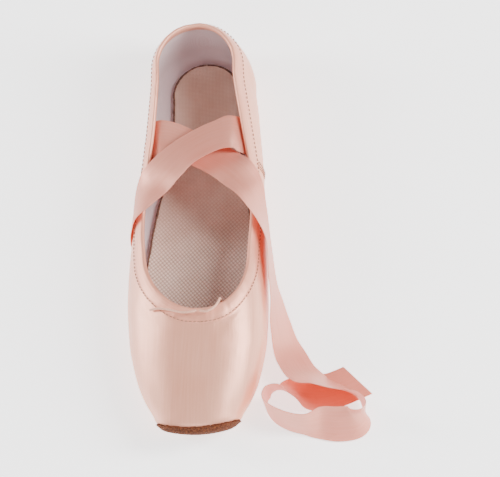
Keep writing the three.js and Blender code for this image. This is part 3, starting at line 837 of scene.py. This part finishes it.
def make_insole_edge():
    """The dark, frayed line where the insole's edge meets the lining: a cord that stands for the thread there
    and, in part, for painted shade in the gap between them.
    """
    skin = Skin()
    for side in (-1, 1):
        points = []
        for at in [*eased_in(INSOLE["front"], 44, 30), *evenly(44, HEEL_START, 190)[1:],
                   *eased_in(INSOLE["back"], HEEL_START, 40)[::-1][1:]]:
            half = foot_width(at, "insole", INSOLE)
            x = side * (half + 0.1 + 0.3 * rough((side * 30, at, 0), 2.2, 8))
            curve = station(min(at, HEEL_END))["curve"]
            z = insole_bottom(at, half) + INSOLE["thickness"] - 0.25 + 0.15 * rough((side, at, 5), 3, 9)
            points.append(Vector((curve + x, station_y(at), z)))
        rings = []
        for k, point in enumerate(points):
            ahead = points[min(k + 1, len(points) - 1)] - points[max(k - 1, 0)]
            across = Vector((-ahead.y, ahead.x, 0)).normalized()
            size = 0.55 + 0.25 * rough((side, k * 1.0, 3), 4, 10)
            rings.append([point + across * size * math.cos(a) + Vector((0, 0, size * math.sin(a)))
                          for a in evenly(0, 2 * math.pi, 6)])
        for a, b in zip(rings, rings[1:]):
            skin.strip(a, b)
    return hold(skin.object("insole_edge", [EDGE_THREAD_AND_GAP_SHADE], merge=1e-4, sharp=80), "insole_canvas")


make_insole_edge()


# ---------------------------------------------------------------- the suede patch on the platform
def make_toe_tip():
    skin = Skin()
    around = evenly(-math.pi / 2, math.pi / 2, 60)
    outer = GAP + PATCH
    for side in (-1, 1):
        def rim(at, grow, ragged=0.0):
            line = []
            for angle in around:
                p = last_point(lerp(-grow, PLATFORM_ROUND, at / PLATFORM_ROUND), angle, side,
                               grow=grow, shift=-grow, rim=PLATFORM_ROUND + grow)
                p.y += ragged * (0.4 + rough((p.x * side, side * 3, p.z), 1.6, 11))
                line.append(p)
            return line

        rings = [towards_middle(rim(0, outer), 0, share) for share in evenly(0, 1, 26)]
        rings += [rim(at, outer, 0.7 if at >= PATCH_REACH else 0) for at in eased_in(0, PATCH_REACH, 7)[1:]]
        for ring in rings:
            for p in ring:
                p.y -= 0.12 + 0.14 * rough(p, 1.1, 12)
        rings.append(rim(PATCH_REACH, GAP, 0.7))
        rings += [rim(at, GAP) for at in eased_in(0, PATCH_REACH, 5)[::-1][1:]]
        rings.append(towards_middle(rim(0, GAP), 0, 0.0))
        for a, b in zip(rings, rings[1:]):
            skin.strip(a, b, flip=side > 0)
    return hold(skin.object("toe_suede", [SUEDE], sharp=70), "suede", "toe_tip")


make_toe_tip()

# ---------------------------------------------------------------- ribbons and drawstring
# Rows repeat the CAD model's: a place on the ribbon's middle line, and the direction across it there.
RIBBON_RIGHT = [
    (31.6, 50.5, 29, 0.07, -1, 0), (29.1, 50.5, 38, 0.07, -1, 0), (25.2, 50, 44.6, 0, -1, 0.15),
    (20, 49, 49, 0, -1, 0.3), (10, 45.5, 50.5, 0.3, -0.9, 0.35), (-3, 38.5, 50.5, 0.38, -0.86, 0.34),
    (-12.5, 30.5, 49.4, 0.45, -0.86, 0.22), (-19.4, 24, 46.8, 0.45, -0.87, 0.15),
    (-26.2, 18, 43.2, 0.36, -0.84, 0.36), (-32.2, 13.8, 37, 0.09, -0.9, 0.46),
    (-34.9, 11, 27.8, -0.03, -0.9, 0.42), (-35.8, 9, 19.5, -0.13, -0.95, 0.3),
    (-35.4, 9, 11.5, -0.14, -0.98, 0.12), (-31, 12.5, 5, -0.05, -1, 0.04), (-22.5, 18.5, 1.6, 0, -1, 0),
    (-10, 24, 0.9, 0, -1, 0), (8, 27, 0.8, 0, -1, 0), (20, 28.5, 0.9, 0, -1, 0), (27, 29, 1.1, 0, -1, 0),
    (31, 29.2, 2.1, 0, -1, 0), (32.2, 29.3, 3.9, 0, -1, 0), (30.2, 29.4, 5.2, 0, -1, 0),
    (25, 29.6, 4.5, 0, -1, 0), (16, 29.7, 2.8, 0, -1, 0), (4, 29.8, 2.2, 0, -1, 0), (-6, 30, 2.1, 0, -1, 0),
    (-12.5, 30.1, 2.1, 0, -1, 0), (-16, 30.1, 2.1, 0, -1, 0), (-18.1, 30.1, 2.2, 0, -1, 0),
    (-19.4, 30.1, 3, 0, -1, 0), (-19.4, 30.1, 4.3, 0, -1, 0), (-18.1, 30.1, 5.1, 0, -1, 0),
    (-15.5, 30.1, 5.2, 0, -1, 0), (-11, 30.1, 5, 0, -1, 0), (-4, 30, 4.7, 0, -1, 0),
    (5, 29.7, 4.6, 0, -1, 0), (15, 29.4, 4.8, 0, -1, 0),
]
RIBBON_LEFT = [
    (-26, 50.5, 29, -0.1, -1, 0), (-23.2, 50.5, 37.5, -0.08, -1, 0), (-18.6, 50.5, 42.6, 0.05, -1, 0),
    (-11, 48.5, 44, -0.1, -1, 0.15), (0, 43, 44.4, -0.25, -0.9, 0.25), (10, 37.5, 44.8, -0.3, -0.88, 0.3),
    (19, 31, 46.2, -0.4, -0.85, 0.3), (26.6, 24.3, 47, -0.4, -0.85, 0.22),
    (33.2, 15, 44.2, -0.4, -0.64, 0.52), (38, 3.5, 36.6, -0.14, -0.62, 0.76),
    (40.9, -9.8, 29.5, 0, -0.33, 0.95), (41.8, -27, 22.5, -0.08, -0.2, 0.97),
    (43.6, -39, 18, -0.2, -0.25, 0.94), (45.2, -51.5, 13.5, -0.36, -0.6, 0.74),
    (47.6, -62.5, 9.6, -0.46, -0.6, 0.63), (51.8, -72.5, 8, -0.68, -0.4, 0.58),
    (57.2, -81, 9.2, -0.42, -0.66, 0.62), (66.6, -86.5, 11, 0.02, -0.6, 0.8),
    (79, -92.5, 12, 0.1, -0.5, 0.86), (88.5, -98.5, 12.8, 0.12, -0.2, 0.97),
    (91.8, -106, 12, 0.12, 0.2, 0.97), (87, -111.5, 10.4, 0.05, 0.52, 0.85),
    (77, -112.4, 9.6, 0, 0.62, 0.78), (68, -111.4, 10, 0.03, 0.55, 0.84),
    (59, -112.4, 11.3, 0.05, 0.17, 0.98), (49.2, -110, 11.6, 0.05, 0.1, 0.99),
    (40.8, -105.2, 11.6, 0, 0.08, 1), (36, -99, 11.6, -0.02, 0.02, 1), (37.2, -93, 11.6, 0.05, -0.02, 1),
    (41.3, -90.6, 11.1, 0.2, -0.12, 0.97), (47.5, -90, 8.4, 0.3, -0.6, 0.72),
    (54, -89.4, 4.3, 0.2, -0.92, 0.32), (60.5, -89.3, 1.6, 0.05, -0.99, 0.06),
    (66.5, -89.2, 0.8, 0.1, -1, 0), (72, -88.6, 0.8, 0.25, -0.96, 0), (79, -86.2, 0.8, 0.37, -0.93, 0),
    (86.5, -83, 0.8, 0.39, -0.92, 0),
]
STRING_LEFT = [
    (3.2, -57.6, 50), (0, -58.6, 51), (-4, -58.4, 50.2), (-9, -56.6, 48.6), (-14, -54.6, 47),
    (-19, -53, 44.8), (-23.5, -52.2, 41.6),
]
STRING_RIGHT = [
    (5.2, -57.6, 50), (8.5, -58.8, 51), (12, -57.4, 50.7), (15, -54, 50.2), (16, -50.6, 48.6),
    (16, -49, 44.2), (16, -48.4, 39), (16, -48, 33),
]


def smooth_line(points, u):
    """A point of the smooth curve through the points. u is from 0 to 1 over them all."""
    n = len(points) - 1
    k = min(int(u * n), n - 1)
    t = u * n - k
    p1, p2 = points[k], points[k + 1]
    p0 = points[k - 1] if k else p1 * 2 - p2
    p3 = points[k + 2] if k + 2 <= n else p2 * 2 - p1
    v1, v2 = (p2 - p0) / 2, (p3 - p1) / 2
    return (p1 * (2 * t ** 3 - 3 * t ** 2 + 1) + v1 * (t ** 3 - 2 * t ** 2 + t)
            + p2 * (3 * t ** 2 - 2 * t ** 3) + v2 * (t ** 3 - t ** 2))


def make_ribbon(name, rows, node, seed):
    middle_line = [Vector(row[:3]) for row in rows]
    direction = [Vector(row[3:]) for row in rows]
    steps = (len(rows) - 1) * 10
    half = RIBBON_WIDTH / 2
    skin, lines, places, run, last = Skin(), [], [], 0, None
    for k in range(steps + 1):
        u = k / steps
        here = smooth_line(middle_line, u)
        before, after = max(u - 1e-4, 0), min(u + 1e-4, 1)
        ahead = (smooth_line(middle_line, after) - smooth_line(middle_line, before)).normalized()
        across = smooth_line(direction, u)
        across = (across - ahead * across.dot(ahead)).normalized()
        up = ahead.cross(across).normalized()
        run += (here - last).length if last else 0
        last = here
        cut = RIBBON_CUT / 2 * max(u * (len(rows) - 1) - len(rows) + 2, 0)
        face, back, uv = [], [], []
        for share in evenly(-1, 1, 14):
            wave = 0.1 * rough((run, share * 2, 0), 9, seed)
            place = here + across * (half * share) + ahead * (cut * share) + up * wave
            thick = RIBBON_THICKNESS / 2 * (1 if abs(share) < 1 else 0.55)
            face.append(place + up * thick)
            back.append(place - up * thick)
            uv.append((run, half * share))
        lines.append(face + back[::-1] + face[:1])
        places.append(uv + uv[::-1] + uv[:1])
    for i in range(steps):
        skin.strip(lines[i], lines[i + 1], places[i], places[i + 1])
    for line, flip in ((lines[0], False), (lines[-1], True)):
        skin.strip(line[:15], line[15:30][::-1], flip=flip)
    piece = hold(skin.object(name, [RIBBON_SATIN], merge=1e-4, sharp=55), "ribbon_satin", node)
    return piece


def make_string(name, points, node):
    line = [Vector(p) for p in points]
    count = 24
    route = [smooth_line(line, k / count) * MM for k in range(count + 1)]
    curve = bpy.data.curves.new(name, "CURVE")
    curve.dimensions = "3D"
    spline = curve.splines.new("POLY")
    spline.points.add(count)
    for spot, place in zip(spline.points, route):
        spot.co = (*place, 1)
    curve.bevel_depth = STRING_DIAMETER / 2 * MM
    curve.bevel_resolution = 4
    curve.use_fill_caps = True
    curve.materials.append(STRING)
    piece = bpy.data.objects.new(name, curve)
    bpy.context.scene.collection.objects.link(piece)
    hold(piece, "string", node)
    return piece


make_ribbon("ribbon_right_cloth", RIBBON_RIGHT, "ribbon_right", 21)
make_ribbon("ribbon_left_cloth", RIBBON_LEFT, "ribbon_left", 22)
make_string("drawstring_left_cord", STRING_LEFT, "drawstring_left")
make_string("drawstring_right_cord", STRING_RIGHT, "drawstring_right")


# ---------------------------------------------------------------- floor, lights and camera
def make_floor():
    g = Graph("floor")
    shade = g.ramp(g.noise(g.place["Object"], 3, 2.0), [(0.3, (0.88, 0.88, 0.885)), (0.7, (0.9, 0.9, 0.905))])
    material = g.surface(g.add("BsdfPrincipled", {
        "Base Color": shade, "Roughness": 0.6, "Specular IOR Level": 0.2,
        "Emission Color": (1, 1, 1, 1), "Emission Strength": 1.8,
    }))
    mesh = bpy.data.meshes.new("floor")
    far = 6
    mesh.from_pydata([(-far, -far, 0), (far, -far, 0), (far, far, 0), (-far, far, 0)], [], [(0, 1, 2, 3)])
    mesh.materials.append(material)
    floor = bpy.data.objects.new("floor", mesh)
    bpy.context.scene.collection.objects.link(floor)


def aimed(thing, where, target, up=(0, 0, 1)):
    back = (Vector(where) - Vector(target)).normalized()
    right = Vector(up).cross(back).normalized()
    turn = Matrix((right, back.cross(right), back)).transposed()
    thing.matrix_world = Matrix.Translation(where) @ turn.to_4x4()


def softbox(name, direction, distance, size, power, colour=(1, 1, 1)):
    light = bpy.data.lights.new(name, "AREA")
    light.shape = "RECTANGLE"
    light.size, light.size_y = size
    light.energy = power
    light.color = colour
    lamp = bpy.data.objects.new(name, light)
    bpy.context.scene.collection.objects.link(lamp)
    target = Vector((0, -0.02, 0.02))
    aimed(lamp, target + Vector(direction).normalized() * distance, target)


make_floor()
softbox("key", (0.8, -0.05, 0.6), 1.3, (0.32, 0.9), 30, (1, 0.985, 0.97))
softbox("left_strip", (-0.95, 0.2, 0.22), 1.1, (0.28, 1.2), 22)
softbox("front", (-0.15, -0.85, 0.4), 1.5, (1.2, 0.4), 9)

world = bpy.data.worlds.new("studio")
bpy.context.scene.world = world
world.use_nodes = True
world.node_tree.nodes["Background"].inputs["Color"].default_value = (1, 1, 1, 1)
world.node_tree.nodes["Background"].inputs["Strength"].default_value = 0.42

UP = Vector((0.0529, 0.9135, 0.4033))
TOWARDS = Vector((0.1188, -0.4067, 0.9057))
DISTANCE = 6
VIEW_WIDTH = 0.2778  # metres across the picture, at the shoe
LOOKS_AT = Vector((0.0256, 0.0094, -0.0069))  # the middle of the shoe with its ribbons

lens = bpy.data.cameras.new("camera")
lens.angle = 2 * math.atan(VIEW_WIDTH / 2 / DISTANCE)
camera = bpy.data.objects.new("camera", lens)
bpy.context.scene.collection.objects.link(camera)
aimed(camera, LOOKS_AT + TOWARDS.normalized() * DISTANCE, LOOKS_AT, UP)
bpy.context.scene.camera = camera
